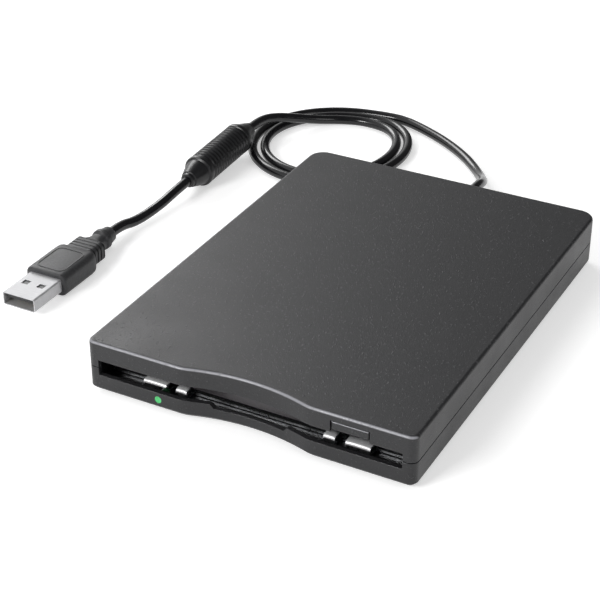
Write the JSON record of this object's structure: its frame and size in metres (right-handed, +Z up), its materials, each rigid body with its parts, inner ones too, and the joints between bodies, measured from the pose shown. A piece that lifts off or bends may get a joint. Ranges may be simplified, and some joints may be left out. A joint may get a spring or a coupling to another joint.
{
  "type": "external floppy disk drive",
  "caption": "Flat portable floppy disk drive with a front disk slot, dust door, eject button, light, and a lead with ferrite sleeve and flat plug.",
  "frame": {"origin": "middle of the drive's footprint on the surface it stands on", "axes": "+X to the right seen from the front, +Y to the back, +Z up"},
  "size_m": [0.1542, 0.2113, 0.0174],
  "materials": {
    "case_abs": "fine moulded texture, satin",
    "button_abs": "fine moulded texture",
    "rubber": "matt",
    "zinc_steel": "zinc plated, satin",
    "black_steel": "black oxide",
    "dark_plastic": "smooth moulded",
    "white_plastic": "smooth moulded",
    "copper_coil": "enamelled copper wire",
    "bronze": "sintered bronze",
    "board_green": "solder mask",
    "chip_black": "moulded epoxy",
    "flat_cable": "translucent film",
    "led_green": "lit lens",
    "head_ceramic": "moulded arm with ceramic head",
    "cable_pvc": "glossy flexible jacket",
    "ferrite_cover": "moulded over-sleeve with fine ribs",
    "plug_pvc": "satin flexible moulding",
    "nickel": "nickel plated",
    "gold": "gold plated"
  },
  "bodies": {
    "case": {"top_cover": "case_abs", "bottom_cover": "case_abs", "rubber_feet": "rubber", "case_screws": "black_steel", "chassis_screws": "zinc_steel", "chassis": "zinc_steel", "guide_rods": "nickel", "motor_board": "board_green", "stator_coils": "copper_coil", "spindle_bearing": "bronze", "slider_springs": "nickel", "stepper_motor": "zinc_steel", "stepper_bracket": "zinc_steel", "switch_housings": "dark_plastic", "control_board": "board_green", "control_chips": "chip_black", "usb_board": "board_green", "usb_chips": "chip_black", "ribbon_cable": "flat_cable", "activity_led": "led_green", "led_lens": "led_green", "strain_relief": "cable_pvc", "cable_exit_run": "cable_pvc", "cable_coil": "cable_pvc", "cable_core_run": "cable_pvc", "cable_plug_run": "cable_pvc", "ferrite_sleeve": "ferrite_cover", "plug_overmould": "plug_pvc", "plug_shell": "nickel", "plug_tongue": "dark_plastic", "plug_contacts": "gold"},
    "slider": {"cam_slider": "zinc_steel", "eject_button": "button_abs"},
    "holder": {"disk_holder": "zinc_steel"},
    "lever": {"shutter_lever": "white_plastic"},
    "door": {"dust_door": "dark_plastic"},
    "carriage": {"head_carriage": "head_ceramic"},
    "upper_arm": {"upper_head_arm": "head_ceramic"},
    "screw": {"lead_screw": "nickel"},
    "rotor": {"spindle_rotor": "nickel"},
    "write_protect": {"write_protect_plunger": "white_plastic"},
    "disk_in": {"disk_in_plunger": "white_plastic"},
    "density": {"density_plunger": "white_plastic"}
  },
  "joints": [
    {"name": "eject_slide", "type": "slide", "parent": "case", "child": "slider", "axis": [0, -1, 0], "range_m": [0, 0.0055], "deforming": ["slider_springs"]},
    {"name": "holder_drop", "type": "slide", "parent": "case", "child": "holder", "axis": [0, 0, -1], "range_m": [0, 0.0022]},
    {"name": "lever_swing", "type": "hinge", "parent": "holder", "child": "lever", "pos_m": [-0.036, 0.028, 0.011], "axis": [0, 0, 1], "range_deg": [0, 38], "stiffness_Nm_per_rad": 0.004},
    {"name": "door_swing", "type": "hinge", "parent": "case", "child": "door", "pos_m": [0, -0.06435, 0.0126], "axis": [1, 0, 0], "range_deg": [0, 70], "stiffness_Nm_per_rad": 0.002},
    {"name": "carriage_travel", "type": "slide", "parent": "case", "child": "carriage", "axis": [0, 1, 0], "range_m": [0, 0.0148]},
    {"name": "upper_arm_lower", "type": "hinge", "parent": "carriage", "child": "upper_arm", "pos_m": [0, 0.041, 0.013], "axis": [1, 0, 0], "range_deg": [0, 7.4]},
    {"name": "screw_spin", "type": "hinge", "parent": "case", "child": "screw", "pos_m": [0.0205, 0.045, 0.0076], "axis": [0, 1, 0], "range_deg": [0, 1430]},
    {"name": "spindle_spin", "type": "hinge", "parent": "case", "child": "rotor", "pos_m": [0, -0.012, 0.005], "axis": [0, 0, 1], "continuous": true},
    {"name": "write_protect_press", "type": "slide", "parent": "case", "child": "write_protect", "axis": [0, 0, -1], "range_m": [0, 0.0007], "stiffness_N_per_m": 300},
    {"name": "disk_in_press", "type": "slide", "parent": "case", "child": "disk_in", "axis": [0, 0, -1], "range_m": [0, 0.0007], "stiffness_N_per_m": 300},
    {"name": "density_press", "type": "slide", "parent": "case", "child": "density", "axis": [0, 0, -1], "range_m": [0, 0.0007], "stiffness_N_per_m": 300}
  ],
  "couplings": [
    {"joint": "holder_drop", "follows": "eject_slide", "ratio": 0.4},
    {"joint": "upper_arm_lower", "follows": "eject_slide", "rad_per_m": 23.459},
    {"joint": "screw_spin", "follows": "carriage_travel", "rad_per_m": 1675.5}
  ]
}
